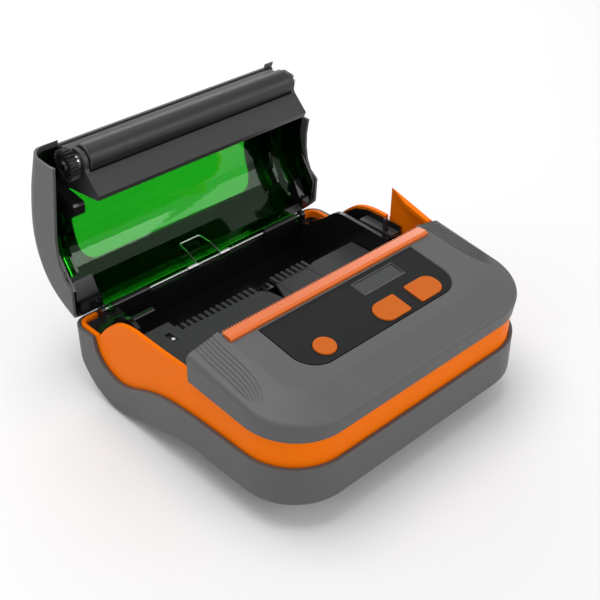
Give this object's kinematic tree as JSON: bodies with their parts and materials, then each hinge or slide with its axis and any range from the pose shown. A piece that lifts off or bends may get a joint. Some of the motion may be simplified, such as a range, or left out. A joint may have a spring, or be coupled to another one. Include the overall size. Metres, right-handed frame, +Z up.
{
  "type": "mobile barcode printer",
  "caption": "Portable direct-thermal label printer with an open green-tinted roll lid, orange middle frame, keypad, tear bar and media bin.",
  "frame": {"origin": "bottom centre of the bounding box with the lid open", "axes": "+Z up, +X to the right facing the keypad, -Y towards the keypad end"},
  "size_m": [0.15, 0.1716, 0.1151],
  "materials": {
    "grey_shell": "satin",
    "orange_frame": "satin",
    "orange_gloss": "gloss",
    "orange_keys": "satin",
    "black_panel": "satin",
    "display_grey": "gloss",
    "black_gloss": "gloss",
    "dark_grey": "satin",
    "green_tint": "gloss",
    "platen_rubber": "matte",
    "steel": "satin",
    "spring_steel": "gloss",
    "heat_sink": "satin",
    "head_ceramic": "gloss",
    "gear_nylon": "satin",
    "board_green": "satin",
    "chip_black": "matte",
    "battery_wrap": "satin",
    "motor_can": "satin",
    "lens_white": "gloss"
  },
  "bodies": {
    "base": {"lower_shell": "grey_shell", "mid_frame": "orange_frame", "front_cover": "grey_shell", "control_panel": "black_panel", "lcd_window": "display_grey", "lcd_module": "chip_black", "key_switches": "chip_black", "key_board": "board_green", "tear_bar": "orange_gloss", "chassis": "black_gloss", "head_heatsink": "heat_sink", "print_head": "head_ceramic", "head_springs": "spring_steel", "media_bin": "black_gloss", "guide_plate": "dark_grey", "side_deck": "dark_grey", "paper_sensor": "chip_black", "lid_sensor": "chip_black", "battery_pack": "battery_wrap", "battery_door": "grey_shell", "door_screws": "steel", "case_screws": "steel", "board_posts": "grey_shell", "main_board": "board_green", "board_chips": "chip_black", "usb_socket": "steel", "power_jack": "chip_black", "motor": "motor_can", "idler_stud": "steel", "hinge_rod": "steel", "sensor_lens": "lens_white", "lever_pin": "steel", "lever_spring": "spring_steel"},
    "lid": {"lid_shell": "grey_shell", "lid_liner": "green_tint", "platen_bracket": "dark_grey", "platen_bearings": "steel", "gear_guard": "black_gloss", "hinge_block_left": "black_gloss", "hinge_block_right": "black_gloss", "torsion_spring": "spring_steel"},
    "platen": {"platen_roller": "platen_rubber", "platen_shaft": "steel", "platen_gear": "gear_nylon"},
    "idler": {"idler_gear": "gear_nylon"},
    "motor_rotor": {"motor_shaft": "steel", "motor_pinion": "gear_nylon"},
    "power_key": {"power_button": "orange_keys"},
    "feed_key": {"feed_button": "orange_keys"},
    "mode_key": {"mode_button": "orange_keys"},
    "lever": {"release_lever": "orange_frame"}
  },
  "joints": [
    {"name": "lid_hinge", "type": "hinge", "parent": "base", "child": "lid", "pos_m": [0, 0.05247, 0.0365], "axis": [1, 0, 0], "range_deg": [0, 82], "stiffness_Nm_per_rad": 0.03},
    {"name": "platen_spin", "type": "hinge", "parent": "lid", "child": "platen", "pos_m": [0, 0.0602, 0.10797], "axis": [1, 0, 0], "continuous": true},
    {"name": "idler_spin", "type": "hinge", "parent": "base", "child": "idler", "pos_m": [-0.0645, -0.02034, 0.04179], "axis": [1, 0, 0], "continuous": true},
    {"name": "motor_spin", "type": "hinge", "parent": "base", "child": "motor_rotor", "pos_m": [-0.0645, -0.02909, 0.03636], "axis": [1, 0, 0], "continuous": true},
    {"name": "power_key_press", "type": "slide", "parent": "base", "child": "power_key", "axis": [0, 0.1495, -0.9888], "range_m": [0, 0.0008], "stiffness_N_per_m": 200},
    {"name": "feed_key_press", "type": "slide", "parent": "base", "child": "feed_key", "axis": [0, 0.1495, -0.9888], "range_m": [0, 0.0008], "stiffness_N_per_m": 200},
    {"name": "mode_key_press", "type": "slide", "parent": "base", "child": "mode_key", "axis": [0, 0.1495, -0.9888], "range_m": [0, 0.0008], "stiffness_N_per_m": 200},
    {"name": "release_lever_lift", "type": "hinge", "parent": "base", "child": "lever", "pos_m": [0.068, -0.02293, 0.0504], "axis": [1, 0, 0], "range_deg": [0, 8], "stiffness_Nm_per_rad": 0.05}
  ],
  "couplings": [
    {"joint": "idler_spin", "follows": "platen_spin", "ratio": -1.1},
    {"joint": "motor_spin", "follows": "platen_spin", "ratio": 1.5714}
  ]
}
